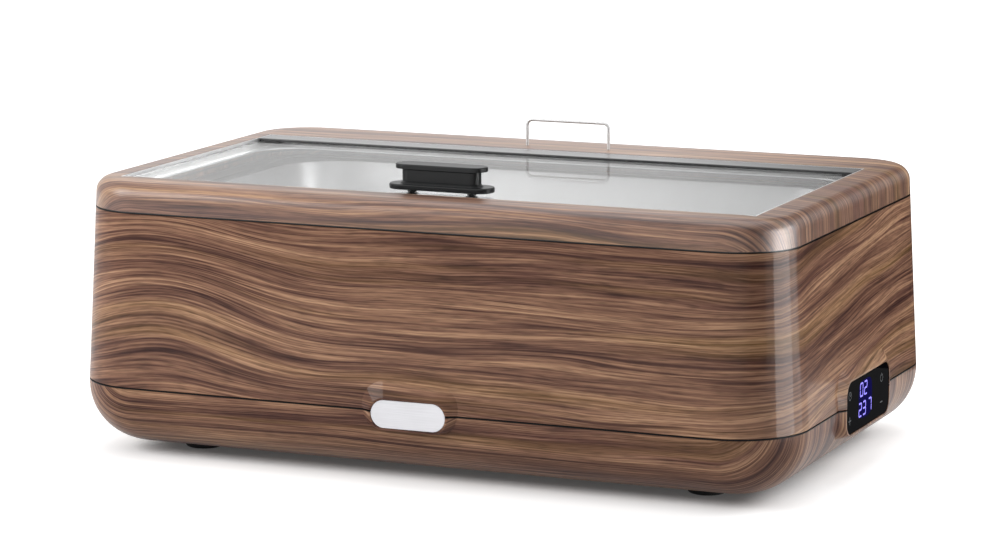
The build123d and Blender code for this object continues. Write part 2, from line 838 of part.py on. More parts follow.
with BuildPart() as grip_base:
    with BuildSketch(knob_plane.offset(knob_base_z)):
        SlotOverall(knob_base_length, knob_base_width)
    extrude(amount=knob_base_thickness)
    fillet(
        grip_base.edges().group_by(Axis.Z)[-1] + grip_base.edges().group_by(Axis.Z)[0], knob_edge_radius
    )
    with Locations(*[(x, y, knob_base_z) for x, y in knob_screws_at]):
        Cylinder(knob_screw_radius + thread_play, 4 * knob_base_thickness, mode=Mode.SUBTRACT)
finish(grip_base.part, "grip_base")

with BuildPart() as grip_top:
    with BuildSketch(knob_plane.offset(knob_neck_z)):
        SlotOverall(knob_neck_length + 2 * knob_foot_flare, knob_neck_width + 2 * knob_foot_flare)
    extrude(amount=knob_foot_flare, taper=knob_waist_angle)
    with BuildSketch(knob_plane.offset(knob_neck_z)):
        SlotOverall(knob_neck_length, knob_neck_width)
    extrude(amount=knob_neck_height)
    with BuildSketch(knob_plane.offset(knob_cap_z - knob_foot_flare / 2)):
        SlotOverall(knob_neck_length, knob_neck_width)
    extrude(amount=knob_foot_flare / 2, taper=-knob_waist_angle)
    with BuildSketch(knob_plane.offset(knob_cap_z)):
        SlotOverall(knob_cap_length, knob_cap_width)
    extrude(amount=knob_cap_thickness)
    fillet(grip_top.edges().group_by(Axis.Z)[-1], knob_edge_radius)
    with Locations(*[(x, y, knob_neck_z) for x, y in knob_screws_at]):
        Cylinder(knob_screw_radius + thread_play, knob_neck_height, align=upright, mode=Mode.SUBTRACT)
finish(grip_top.part, "grip_top")

with BuildPart() as grip_washers:
    with BuildSketch(Plane.XY.offset(glass_bottom_z)):
        with Locations(*knob_screws_at):
            Circle(washer_radius)
            Circle(knob_screw_radius + thread_play, mode=Mode.SUBTRACT)
    extrude(amount=-washer_thickness)
finish(grip_washers.part, "grip_washers")

grip_stack = washer_thickness + glass_thickness + knob_spacer_height + knob_base_thickness
grip_screws = screw_set(
    [Plane((x, y, glass_bottom_z - washer_thickness)) for x, y in knob_screws_at],
    knob_screw_radius,
    grip_stack + knob_screw_bite,
    screw_head_radius,
    screw_head_height,
)
finish(grip_screws, "grip_screws")

# Wire loop standing on the rear of the rim, its ends nutted under the skin
loop_foot_z = skin_under_z - loop_tail
loop_half = loop_width / 2
with BuildPart() as wire_loop:
    with BuildLine(Plane.XZ.offset(-loop_y)) as loop_path:
        FilletPolyline(
            (-loop_half, loop_foot_z),
            (-loop_half, loop_top_z - loop_wire_radius),
            (loop_half, loop_top_z - loop_wire_radius),
            (loop_half, loop_foot_z),
            radius=loop_bend,
        )
    with BuildSketch(Plane((-loop_half, loop_y, loop_foot_z))):
        Circle(loop_wire_radius)
    sweep()
finish(wire_loop.part, "wire_loop")
loop_nut_places = [(side * loop_half, loop_y, skin_under_z) for side in (-1, 1)]
loop_nuts = hex_nuts(loop_nut_places, loop_wire_radius + thread_play, loop_nut_across, loop_nut_height)
finish(loop_nuts, "loop_nuts")

# Badge plate on the front, left bare
with BuildPart() as badge_plate:
    with BuildSketch(Plane.XZ.offset(boss_face_y - badge_recess)):
        with Locations((0, badge_z)):
            SlotOverall(badge_length, badge_height)
    extrude(amount=-badge_thickness)
finish(badge_plate.part, "badge_plate")

# Removable food pan, one full gastronorm size
with BuildPart() as pan_inside:
    extrude(
        rounded_plan(pan_flange_z, pan_mouth_length, pan_mouth_depth, pan_mouth_corner),
        amount=sheet - pan_height,
        taper=pan_draft,
    )
    fillet(pan_inside.faces().sort_by(Axis.Z)[0].edges(), pan_bottom_radius - sheet)

with BuildPart() as food_pan:
    extrude(
        rounded_plan(
            pan_flange_z, pan_mouth_length + 2 * sheet, pan_mouth_depth + 2 * sheet, pan_mouth_corner + sheet
        ),
        amount=-pan_height,
        taper=pan_draft,
    )
    fillet(food_pan.faces().sort_by(Axis.Z)[0].edges(), pan_bottom_radius)
    extrude(
        rounded_plan(deck_z, pan_flange_length, pan_flange_depth, pan_flange_corner),
        amount=pan_flange_z - deck_z,
    )
    with BuildSketch(Plane.XY.offset(deck_z)):
        RectangleRounded(
            pan_flange_length - 2 * sheet, pan_flange_depth - 2 * sheet, pan_flange_corner - sheet
        )
        RectangleRounded(
            pan_mouth_length + 2 * sheet,
            pan_mouth_depth + 2 * sheet,
            pan_mouth_corner + sheet,
            mode=Mode.SUBTRACT,
        )
    extrude(amount=pan_flange_z - deck_z - sheet, mode=Mode.SUBTRACT)
    add(pan_inside.part, mode=Mode.SUBTRACT)
finish(food_pan.part, "food_pan")

# Water pan: deck on the shell's ledge with a deep tank for the hot water
with BuildPart() as tank_inside:
    extrude(
        rounded_plan(deck_z, tank_length, tank_depth, tank_corner),
        amount=tank_bottom_z - deck_z,
        taper=tank_draft,
    )
    fillet(tank_inside.faces().sort_by(Axis.Z)[0].edges(), tank_bottom_radius - sheet)

with BuildPart() as water_pan:
    extrude(
        rounded_plan(deck_z, tank_length + 2 * sheet, tank_depth + 2 * sheet, tank_corner + sheet),
        amount=tank_bottom_z - sheet - deck_z,
        taper=tank_draft,
    )
    fillet(water_pan.faces().sort_by(Axis.Z)[0].edges(), tank_bottom_radius)
    with BuildSketch(Plane.XY.offset(ledge_z)):
        add(outline(ledge_z, wall + 2 * fit_gap))
    extrude(amount=sheet)
    add(tank_inside.part, mode=Mode.SUBTRACT)
finish(water_pan.part, "water_pan")

# Heating: spreader plate under the tank, tubular element, two clamp bars on studs, and a heat shield
plate_under_z = tank_bottom_z - sheet - heater_thickness
element_z = plate_under_z - element_radius - contact_gap
clamp_top_z = element_z - element_radius - contact_gap
clamp_under_z = clamp_top_z - clamp_thickness
clamp_length = 2 * (stud_y + clamp_end)
element_left = element_inset - heater_length / 2
element_right = heater_length / 2 + element_overhang
shield_length = heater_length + 2 * shield_margin
shield_depth = heater_depth + 2 * shield_margin
stud_places = [(x, y) for x in (-clamp_x, clamp_x) for y in (-stud_y, stud_y)]
with BuildPart() as heater_plate:
    extrude(
        rounded_plan(plate_under_z, heater_length, heater_depth, heater_corner), amount=heater_thickness
    )
    with Locations(*[(x, y, plate_under_z) for x, y in stud_places]):
        Cylinder(stud_radius + face_gap, 4 * heater_thickness, mode=Mode.SUBTRACT)
    with Locations(*[(0, side * cutout_screw_y, plate_under_z) for side in (-1, 1)]):
        Cylinder(
            small_screw_radius + thread_play, cutout_screw_bite + face_gap, align=upright, mode=Mode.SUBTRACT
        )
finish(heater_plate.part, "heater_plate")

with BuildPart() as heater_element:
    with BuildLine(Plane.XY.offset(element_z)):
        FilletPolyline(
            (element_right, -element_span / 2),
            (element_left, -element_span / 2),
            (element_left, element_span / 2),
            (element_right, element_span / 2),
            radius=element_span / 2 - element_bend_gap,
        )
    with BuildSketch(Plane((element_right, -element_span / 2, element_z), (0, 1, 0), (-1, 0, 0))):
        Circle(element_radius)
    sweep()
finish(heater_element.part, "heater_element")

with BuildPart() as element_terminals:
    for side in (-1, 1):
        with Locations(Location((element_right, side * element_span / 2, element_z), (0, 90, 0))):
            Cylinder(collar_radius, collar_length, align=upright)
            Cylinder(terminal_radius, terminal_length, align=upright)
finish(element_terminals.part, "element_terminals")

with BuildPart() as heater_clamps:
    with Locations(*[(x, 0, clamp_top_z) for x in (-clamp_x, clamp_x)]):
        Box(clamp_width, clamp_length, clamp_thickness, align=hanging)
    with Locations(*[(x, y, clamp_top_z) for x, y in stud_places]):
        Cylinder(stud_radius + face_gap, 4 * clamp_thickness, mode=Mode.SUBTRACT)
finish(heater_clamps.part, "heater_clamps")

stud_foot_z = shield_z - nut_height - stud_radius
with BuildPart() as heater_studs:
    with Locations(*[(x, y, stud_foot_z) for x, y in stud_places]):
        Cylinder(stud_radius, tank_bottom_z - sheet - stud_foot_z, align=upright)
finish(heater_studs.part, "heater_studs")

stud_bore = stud_radius + thread_play
for name, seat_z in (("clamp_nuts", clamp_under_z), ("shield_nuts", shield_z)):
    finish(hex_nuts([(x, y, seat_z) for x, y in stud_places], stud_bore, nut_across, nut_height), name)

with BuildPart() as shield_spacers:
    with BuildSketch(Plane.XY.offset(shield_z + sheet)):
        with Locations(*stud_places):
            Circle(stud_radius + spacer_wall)
            Circle(stud_bore, mode=Mode.SUBTRACT)
    extrude(amount=clamp_under_z - nut_height - shield_z - sheet)
finish(shield_spacers.part, "shield_spacers")

with BuildPart() as heat_shield:
    extrude(rounded_plan(shield_z, shield_length, shield_depth, heater_corner), amount=shield_rise)
    extrude(
        rounded_plan(
            shield_z + sheet, shield_length - 2 * sheet, shield_depth - 2 * sheet, heater_corner - sheet
        ),
        amount=shield_rise,
        mode=Mode.SUBTRACT,
    )
    with Locations(*[(x, y, shield_z) for x, y in stud_places]):
        Cylinder(stud_bore, 4 * sheet, mode=Mode.SUBTRACT)
finish(heat_shield.part, "heat_shield")

# Thermal cut-out and temperature probe on the spreader plate
with BuildPart() as thermal_cutout:
    with Locations((0, 0, plate_under_z)):
        Box(cutout_strap, 2 * (cutout_screw_y + cutout_ear), sheet, align=hanging)
        Cylinder(cutout_radius, cutout_height, align=hanging)
    with Locations(*[(side * cutout_tab_pitch / 2, 0, plate_under_z - cutout_height) for side in (-1, 1)]):
        Box(sheet, cutout_tab, cutout_tab, align=hanging)
    with Locations(*[(0, side * cutout_screw_y, plate_under_z) for side in (-1, 1)]):
        Cylinder(small_screw_radius + thread_play, 4 * sheet, mode=Mode.SUBTRACT)
finish(thermal_cutout.part, "thermal_cutout")
finish(
    screw_set(
        [Plane((0, side * cutout_screw_y, plate_under_z - sheet)) for side in (-1, 1)],
        small_screw_radius,
        sheet + cutout_screw_bite,
        small_head_radius,
        small_head_height,
    ),
    "cutout_screws",
)

with BuildPart() as temperature_sensor:
    with Locations((probe_x, 0, plate_under_z)):
        Box(2 * probe_radius, probe_clip, 2 * probe_radius, align=hanging)
    with Locations(Location((probe_x, 0, plate_under_z - probe_radius), (90, 0, 0))):
        Cylinder(probe_radius, probe_length)
finish(temperature_sensor.part, "temperature_sensor")

# Control panel: glass, display, board with touch springs, and the carrier behind them
with BuildPart() as panel_glass:
    with BuildSketch(Plane.YZ.offset(glass_back_x)):
        with Locations((0, panel_z)):
            RectangleRounded(panel_length, panel_height, panel_corner)
    extrude(amount=panel_thickness)
finish(panel_glass.part, "panel_glass")

with BuildPart() as display_module:
    with Locations((glass_back_x, sum(icon_ys) / 2, panel_z)):
        Box(module_depth, module_length, module_height, align=(Align.MAX, Align.CENTER, Align.CENTER))
finish(display_module.part, "display_module")

with BuildPart() as touch_springs:
    for y in icon_ys:
        for z in icon_zs:
            with Locations(Location((glass_back_x - module_depth, y, z), (0, 90, 0))):
                Cylinder(spring_radius, module_depth, align=upright)
finish(touch_springs.part, "touch_springs")

with BuildPart() as control_board:
    with BuildSketch(Plane.YZ.offset(board_x)):
        with Locations((0, panel_z)):
            Rectangle(panel_length - panel_border, panel_height - 2 * panel_border)
    extrude(amount=board_thickness)
finish(control_board.part, "control_board")

with BuildPart() as panel_carrier:
    with BuildSketch(Plane.YZ.offset(carrier_x)):
        with Locations((0, panel_z + (carrier_rise - carrier_drop) / 2)):
            RectangleRounded(2 * carrier_half_length, carrier_rise + carrier_drop, boss_radius)
    extrude(amount=-carrier_thickness)
    with BuildSketch(Plane.YZ.offset(carrier_x)):
        with Locations((0, panel_z)):
            with GridLocations(2 * carrier_screw_y, carrier_peg_pitch, 2, 2):
                Circle(spring_radius)
    extrude(amount=carrier_gap)
    with Locations(*carrier_seats):
        Cylinder(small_screw_radius + thread_play, 4 * carrier_thickness, mode=Mode.SUBTRACT)
finish(panel_carrier.part, "panel_carrier")
finish(
    screw_set(
        [seat.offset(-carrier_thickness) for seat in carrier_seats],
        small_screw_radius,
        carrier_thickness + carrier_screw_bite,
        small_head_radius,
        small_head_height,
    ),
    "carrier_screws",
)

# Power inlet in the back wall: flanged socket, three pins and two screws
inlet_front_y = inlet_floor_y + inlet_flange_thickness
with BuildPart() as power_inlet:
    with Locations((inlet_x, inlet_floor_y, inlet_z)):
        Box(
            inlet_body_length,
            inlet_body_depth,
            inlet_body_height,
            align=(Align.CENTER, Align.MAX, Align.CENTER),
        )
    with BuildSketch(Plane((inlet_x, inlet_floor_y, inlet_z), (-1, 0, 0), (0, 1, 0))):
        RectangleRounded(inlet_flange_length, inlet_flange_height, inlet_flange_corner)
        with Locations((-inlet_screw_spacing / 2, 0), (inlet_screw_spacing / 2, 0)):
            Circle(small_screw_radius + thread_play, mode=Mode.SUBTRACT)
    extrude(amount=inlet_flange_thickness)
    with BuildSketch(Plane((inlet_x, inlet_front_y, inlet_z), (-1, 0, 0), (0, 1, 0))):
        socket = Rectangle(inlet_body_length - 2 * socket_wall, inlet_body_height - 2 * socket_wall)
        chamfer(socket.vertices().sort_by(Axis.Y)[-2:], socket_chamfer)
    extrude(amount=-socket_depth, mode=Mode.SUBTRACT)
    with Locations(*inlet_pin_places):
        Box(pin_width, inlet_body_depth * 2, pin_height, mode=Mode.SUBTRACT)
finish(power_inlet.part, "power_inlet")

with BuildPart() as inlet_pins:
    with Locations(*[(x, inlet_front_y - pin_setback, z) for x, y, z in inlet_pin_places]):
        Box(pin_width, pin_length, pin_height, align=(Align.CENTER, Align.MAX, Align.CENTER))
finish(inlet_pins.part, "inlet_pins")
finish(
    screw_set(
        [seat.offset(-inlet_flange_thickness) for seat in inlet_screw_seats],
        small_screw_radius,
        inlet_flange_thickness + inlet_pad,
        small_head_radius,
        inlet_screw_head,
    ),
    "inlet_screws",
)

# Power board on four posts in the tray
board_z = tray_bottom_z + wall + power_post_height
board_top_z = board_z + board_thickness
with BuildPart() as power_board:
    with Locations((power_board_x, power_board_y, board_z)):
        Box(power_board_length, power_board_depth, board_thickness, align=upright)
    with Locations(*[(x, y, board_z) for x, y in board_posts]):
        Cylinder(small_screw_radius + thread_play, 4 * board_thickness, mode=Mode.SUBTRACT)
finish(power_board.part, "power_board")
finish(
    screw_set(
        [Plane((x, y, board_top_z), (1, 0, 0), (0, 0, -1)) for x, y in board_posts],
        small_screw_radius,
        board_thickness + board_screw_bite,
        small_head_radius,
        small_head_height,
    ),
    "board_screws",
)

transformer_at = (power_board_x + transformer_place[0], power_board_y + transformer_place[1])
with BuildPart() as transformer:
    with Locations((*transformer_at, board_top_z)):
        Box(transformer_length, transformer_depth, transformer_height, align=upright)
    with Locations((*transformer_at, board_top_z + winding_proud)):
        Box(
            transformer_length - 2 * winding_margin,
            transformer_depth + 2 * winding_proud,
            transformer_height - 2 * winding_proud,
            align=upright,
        )
finish(transformer.part, "transformer")

with BuildPart() as relay:
    with Locations((power_board_x + relay_place[0], power_board_y + relay_place[1], board_top_z)):
        Box(relay_length, relay_depth, relay_depth, align=upright)
    chamfer(relay.edges().filter_by(Axis.Z), sheet)
finish(relay.part, "relay")

with BuildPart() as capacitors:
    with Locations((power_board_x, power_board_y + capacitor_offset_y, board_top_z)):
        with GridLocations(capacitor_pitch, capacitor_pitch, 2, 1):
            Cylinder(capacitor_radius, capacitor_height, align=upright)
finish(capacitors.part, "capacitors")

terminal_x = power_board_x + terminal_offset_x
with BuildPart() as terminal_block:
    with Locations((terminal_x, power_board_y, board_top_z)):
        Box(terminal_depth, terminal_ways * terminal_pitch, terminal_height, align=upright)
    with Locations((terminal_x - terminal_depth / 2, power_board_y, board_top_z + terminal_height / 2)):
        with GridLocations(terminal_pitch, terminal_pitch, 1, terminal_ways):
            Box(terminal_depth, terminal_entry, terminal_entry, mode=Mode.SUBTRACT)
finish(terminal_block.part, "terminal_block")

# Feet and the screws that hold them and the housing
for number, (x, y) in enumerate(feet, start=1):
    with BuildPart() as foot:
        with BuildSketch(Plane.XZ):
            with BuildLine():
                Polyline(
                    (0, 0),
                    (foot_bottom_radius, 0),
                    (foot_top_radius, tray_bottom_z),
                    (0, tray_bottom_z),
                    close=True,
                )
            make_face()
        revolve(axis=Axis.Z)
        fillet(foot.edges().group_by(Axis.Z)[0], foot_edge_radius)
        Cylinder(screw_radius + face_gap, 4 * tray_bottom_z, mode=Mode.SUBTRACT)
        Cylinder(
            screw_head_radius + fit_gap,
            2 * (tray_bottom_z - foot_seat),
            mode=Mode.SUBTRACT,
        )
    finish(Pos(x, y, 0) * foot.part, f"foot_{number}")

finish(
    screw_set(
        [Plane((x, y, tray_bottom_z - foot_seat)) for x, y in feet],
        screw_radius,
        foot_seat + boss_height,
        screw_head_radius,
        screw_head_height,
    ),
    "foot_screws",
)
finish(
    screw_set(
        [Plane((x, y, tray_bottom_z + wall)) for x, y in columns],
        screw_radius,
        seat_height + column_screw_bite,
        screw_head_radius,
        screw_head_height,
    ),
    "housing_screws",
)
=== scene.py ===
"""Looks of an electric chafing dish: walnut-print housing, glass lid, black knob, steel pans, panel."""

import math

import bmesh
import bpy
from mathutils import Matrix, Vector


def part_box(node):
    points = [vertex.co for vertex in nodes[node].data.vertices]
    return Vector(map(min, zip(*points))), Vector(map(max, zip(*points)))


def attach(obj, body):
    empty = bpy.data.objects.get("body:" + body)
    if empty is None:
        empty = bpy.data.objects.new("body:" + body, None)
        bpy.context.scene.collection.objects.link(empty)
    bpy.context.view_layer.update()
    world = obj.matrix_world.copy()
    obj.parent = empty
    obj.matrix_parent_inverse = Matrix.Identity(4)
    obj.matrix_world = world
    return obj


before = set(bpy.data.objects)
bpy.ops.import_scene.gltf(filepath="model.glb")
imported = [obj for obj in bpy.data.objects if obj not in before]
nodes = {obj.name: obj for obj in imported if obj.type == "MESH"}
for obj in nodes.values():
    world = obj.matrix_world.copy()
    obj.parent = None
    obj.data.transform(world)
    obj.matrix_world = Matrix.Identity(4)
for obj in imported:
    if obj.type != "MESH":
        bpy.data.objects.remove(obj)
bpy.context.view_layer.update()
scene = bpy.context.scene

# Lengths are in metres. The housing's corners have one radius, and its rounded outline in plan
# is a straight-sided core grown by that radius.
MM = 0.001
CORNER = 58 * MM
core_length = -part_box("body_shell")[0].x - CORNER
core_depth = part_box("body_shell")[1].y - CORNER
rim_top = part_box("top_frame")[1].z
tray_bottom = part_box("base_tray")[0].z
# Half the way round the outline, and the radius of the circle that is as long as the whole way
HALF_GIRTH = 2 * core_length + 2 * core_depth + math.pi * CORNER
GIRTH_RADIUS = HALF_GIRTH / math.pi


def srgb(red, green, blue):
    """Linear colour of an 8-bit sRGB one."""
    parts = [c / 255 for c in (red, green, blue)]
    return tuple(c / 12.92 if c < 0.04045 else ((c + 0.055) / 1.055) ** 2.4 for c in parts) + (1.0,)


class Look:
    """One procedural material, with short ways to add and join its nodes."""

    def __init__(self, name):
        self.material = bpy.data.materials.new(name)
        self.material.use_nodes = True
        self.tree = self.material.node_tree
        self.shader = self.tree.nodes["Principled BSDF"]
        self.place = self.add("ShaderNodeTexCoord", {}).outputs["Object"]

    def put(self, socket, value):
        if isinstance(value, bpy.types.NodeSocket):
            self.tree.links.new(value, socket)
        else:
            socket.default_value = value

    def add(self, kind, inputs, **settings):
        node = self.tree.nodes.new(kind)
        for key, value in settings.items():
            setattr(node, key, value)
        for key, value in inputs.items():
            self.put(node.inputs[key], value)
        return node

    def set(self, **values):
        for key, value in values.items():
            self.put(self.shader.inputs[key.replace("_", " ")], value)

    def math(self, operation, a, b=0.0, clamp=False):
        return self.add("ShaderNodeMath", {0: a, 1: b}, operation=operation, use_clamp=clamp).outputs[0]

    def vector(self, operation, a, b=(0, 0, 0)):
        return self.add("ShaderNodeVectorMath", {0: a, 1: b}, operation=operation).outputs[0]

    def split(self, vector):
        return self.add("ShaderNodeSeparateXYZ", {0: vector}).outputs

    def join(self, x, y, z):
        return self.add("ShaderNodeCombineXYZ", {0: x, 1: y, 2: z}).outputs[0]

    def scaled(self, vector, factors):
        return self.vector("MULTIPLY", vector, factors)

    def noise(self, vector, scale=1.0, detail=2.0, roughness=0.5):
        inputs = {"Vector": vector, "Scale": scale, "Detail": detail, "Roughness": roughness}
        return self.add("ShaderNodeTexNoise", inputs).outputs[0]

    def swing(self, value, gain, middle=0.0, clamp=False):
        """A noise value spread by gain round middle."""
        spread = self.math("MULTIPLY", self.math("SUBTRACT", value, 0.5), gain)
        return self.math("ADD", spread, middle, clamp=clamp)

    def ramp(self, factor, stops):
        node = self.add("ShaderNodeValToRGB", {0: factor})
        points = node.color_ramp.elements
        while len(points) < len(stops):
            points.new(0.5)
        for point, (position, colour) in zip(points, stops):
            point.position = position
            point.color = colour
        return node.outputs[0]

    def blend(self, factor, a, b, way="MIX"):
        node = self.add("ShaderNodeMix", {0: factor}, data_type="RGBA", blend_type=way)
        self.put(node.inputs[6], a)
        self.put(node.inputs[7], b)
        return node.outputs[2]

    def bump(self, height, strength, distance):
        inputs = {"Height": height, "Strength": strength, "Distance": distance}
        self.set(Normal=self.add("ShaderNodeBump", inputs).outputs[0])

    def finish_mix(self, factor, a, b):
        """Ends the material in two shaders mixed by a factor."""
        both = self.add("ShaderNodeMixShader", {0: factor, 1: a, 2: b}).outputs[0]
        self.tree.links.new(both, self.tree.nodes["Material Output"].inputs[0])


def dress(material, *names):
    """Gives CAD nodes a material."""
    for name in names:
        slots = nodes[name].data.materials
        slots.clear()
        slots.append(material)


# Higher than anything in the scene
TALL = 10


def corner_frame(look):
    """Nearest point of the straight-sided core, and the way out from it to the surface."""
    half = Vector((core_length, core_depth, TALL))
    core = look.vector("MAXIMUM", look.vector("MINIMUM", look.place, half), -half)
    out = look.scaled(look.vector("SUBTRACT", look.place, core), (1, 1, 0))
    return core, out


# Walnut print: where the grain runs, then its figure and colour.
# Past the front's right corner the grain rises by up to this much, and falls again behind.
CLIMB = 28 * MM
# A face turned from the front by more than this, in radians, counts as the back
BEHIND_TURN = 0.52 * math.pi


def grain_round(look):
    """Way along the grain round the housing's sides from the middle of the front, and across it upwards."""
    core, out = corner_frame(look)
    core_x, core_y, _ = look.split(core)
    out_x, out_y, _ = look.split(out)
    height = look.split(look.place)[2]
    turn = look.math("ARCTAN2", look.math("ABSOLUTE", out_x), look.math("MULTIPLY", out_y, -1))
    reach = look.math("ABSOLUTE", core_x)
    behind = look.math("GREATER_THAN", turn, BEHIND_TURN)
    far = look.math("MULTIPLY", look.math("SUBTRACT", core_length, reach), 2)
    reach = look.math("ADD", reach, look.math("MULTIPLY", behind, far))
    reach = look.math("ADD", reach, look.math("MULTIPLY", turn, CORNER))
    reach = look.math("ADD", reach, look.math("ADD", core_y, core_depth))
    side = look.math("SIGN", look.split(look.place)[0])
    along = look.math("MULTIPLY", reach, side)
    front = core_length + CORNER
    lean = look.math("MULTIPLY", look.math("SUBTRACT", along, front), math.pi / (HALF_GIRTH - front))
    lean = look.math("SINE", look.math("MAXIMUM", lean, 0))
    return along, look.math("SUBTRACT", height, look.math("MULTIPLY", lean, CLIMB))


def grain_over(look, level, way):
    """Way along X and across it over a moulding whose sides fold away from its flat face at a level."""
    _, out = corner_frame(look)
    out_x, out_y, _ = look.split(look.vector("NORMALIZE", out))
    x, y, z = look.split(look.place)
    drop = look.math("MAXIMUM", look.math("MULTIPLY", look.math("SUBTRACT", level, z), way), 0)
    along = look.math("ADD", x, look.math("MULTIPLY", drop, out_x))
    return along, look.math("ADD", y, look.math("MULTIPLY", drop, out_y))


# Heights of the two seams, where a thin line of painted shade darkens the wood as if in the seam gap, and
# how it is drawn
SEAM_SHADE_HEIGHTS = (58.2 * MM, 196.7 * MM)
SEAM_SHADE_HALF_WIDTH = 0.3 * MM
SEAM_SHADE_SHARPNESS = 1500
# Hump of the grain on the left of the front: its middle along and up, its reach each way, its rise
SWELL_PLACE = (-215 * MM, 131 * MM)
SWELL_SIZE = (85 * MM, 75 * MM)
SWELL_RISE = 30 * MM
# Colours from the darkest grain line to the lightest wood, and the two tints in patches
WOOD_TONES = [
    (0.0, srgb(60, 35, 31)),
    (0.3, srgb(95, 64, 53)),
    (0.5, srgb(126, 90, 73)),
    (0.72, srgb(155, 116, 92)),
    (1.0, srgb(194, 152, 120)),
]
PURPLE = srgb(172, 150, 172)
GOLDEN = srgb(96, 74, 30)
# How far the figure sways across the grain, slowly and in small eyes
SWAY_DEPTH = 16 * MM
EYE_DEPTH = 18 * MM
# Layers of the print: waves per metre along the grain, waves per metre across it, the layer's
# own number, and detail where it has more than one octave
SWAY = (2.6, 5, 0)
EYES = (5.5, 30, 3)
BANDS = (1.5, 85, 5)
STREAKS = (5, 380, 6)
LINES = (14, 800, 7)
PORES = (70, 1000, 9)
PURPLE_PATCHES = (2, 46, 13, 2)
VEINS = (3.5, 110, 17)
GOLDEN_PATCHES = (2.2, 60, 21, 2)
VEIN_SHARPNESS = 13
VEIN_DEPTH = 0.22


def walnut(name, wrap, seed, gloss=0.05, coat=0.2, mist=0.08):
    """Satin walnut print: flowing figure, purple and golden streaks, fine grain lines and pores, and
    painted shade along the seams.
    """
    look = Look(name)
    along, across = wrap(look)
    round_x = round_y = along
    if wrap is grain_round:
        turn = look.math("DIVIDE", along, GIRTH_RADIUS)
        round_x = look.math("MULTIPLY", look.math("SINE", turn), GIRTH_RADIUS)
        round_y = look.math("MULTIPLY", look.math("COSINE", turn), GIRTH_RADIUS)

    def cloud(height, stretch, fine, number, detail=1):
        """Noise whose waves are longer along the grain, and which meets itself behind the housing."""
        place = look.join(round_x, height, round_y if wrap is grain_round else 0.0)
        place = look.vector("ADD", look.scaled(place, (stretch, fine, stretch)), (0, 0, seed + number))
        return look.noise(place, detail=detail)

    figure = look.math("ADD", across, look.swing(cloud(across, *SWAY), SWAY_DEPTH))
    if wrap is grain_round:
        figure = look.math("SUBTRACT", figure, front_swell(look, along, across))
    figure = look.math("ADD", figure, look.swing(cloud(figure, *EYES), EYE_DEPTH))
    line = cloud(figure, *LINES)
    pore = cloud(figure, *PORES)
    # Tone along the colour ramp, from 0, the darkest, to 1
    tone = look.swing(cloud(figure, *BANDS), 1.0, 0.6)
    tone = look.math("ADD", tone, look.swing(cloud(figure, *STREAKS), 0.85))
    vein = look.math("ABSOLUTE", look.swing(cloud(figure, *VEINS), 1))
    vein = look.math("MULTIPLY", vein, VEIN_SHARPNESS, clamp=True)
    tone = look.math("ADD", tone, look.math("MULTIPLY", look.math("SUBTRACT", vein, 1), VEIN_DEPTH))
    tone = look.math("ADD", tone, look.swing(line, 1.15), clamp=True)
    colour = look.ramp(tone, WOOD_TONES)
    purple = look.swing(cloud(figure, *PURPLE_PATCHES), 4, -0.15, clamp=True)
    colour = look.blend(purple, colour, PURPLE, "MULTIPLY")
    golden = look.swing(cloud(figure, *GOLDEN_PATCHES), 4, -0.1, clamp=True)
    colour = look.blend(golden, colour, GOLDEN, "SCREEN")
    pores_and_seam_shade = look.swing(pore, 1.3, 0.93, clamp=True)
    level = look.split(look.place)[2]
    # Painted shade: the wood is darkened in a thin line at each seam height, on top of the pore flecks
    for seam in SEAM_SHADE_HEIGHTS:
        off = look.math("ABSOLUTE", look.math("SUBTRACT", level, seam))
        off = look.math("SUBTRACT", off, SEAM_SHADE_HALF_WIDTH)
        pores_and_seam_shade = look.math("MULTIPLY", pores_and_seam_shade, look.math("MULTIPLY", off, SEAM_SHADE_SHARPNESS, clamp=True))
    colour = look.blend(1.0, colour, look.join(pores_and_seam_shade, pores_and_seam_shade, pores_and_seam_shade), "MULTIPLY")
    look.set(Base_Color=colour, Specular_IOR_Level=gloss, Coat_Weight=coat, Coat_Roughness=mist)
    look.set(Roughness=look.swing(line, -0.2, 0.36))
    look.bump(look.math("ADD", line, pore), 0.1, 0.2 * MM)
    return look.material


def front_swell(look, along, across):
    """Hump that the grain makes on the left of the front, highest at mid height."""
    gone = look.math("DIVIDE", look.math("SUBTRACT", along, SWELL_PLACE[0]), SWELL_SIZE[0])
    up = look.math("DIVIDE", look.math("SUBTRACT", across, SWELL_PLACE[1]), SWELL_SIZE[1])
    square = look.math("ADD", look.math("MULTIPLY", gone, gone), look.math("MULTIPLY", up, up))
    return look.math("MULTIPLY", look.math("EXPONENT", look.math("MULTIPLY", square, -1)), SWELL_RISE)


# How much lighter and darker than its colour a plain surface gets, and the grain of brushed steel
TONE_CHANGE = 0.08
BRUSHED = (20, 900, 900)


def plain(name, colour, roughness, metallic, grain, depth, **more):
    """Moulded, painted or metal surface with a fine grain and slight changes of tone and gloss.

    The grain is in waves per metre along X, Y and Z, and its depth in millimetres.
    """
    look = Look(name)
    fine = look.noise(look.scaled(look.place, grain), detail=3)
    cloud = look.noise(look.place, 18, detail=2)
    dark = tuple(c * (1 - TONE_CHANGE) for c in colour[:3]) + (1,)
    light = tuple(min(1, c * (1 + TONE_CHANGE)) for c in colour[:3]) + (1,)
    shade = look.swing(look.math("ADD", fine, cloud), 1.5, -0.25)
    look.set(Base_Color=look.blend(shade, dark, light), Metallic=metallic)
    look.set(Roughness=look.swing(fine, roughness * 0.3, roughness))
    look.bump(fine, 0.25, depth * MM)
    look.set(**more)
    return look.material


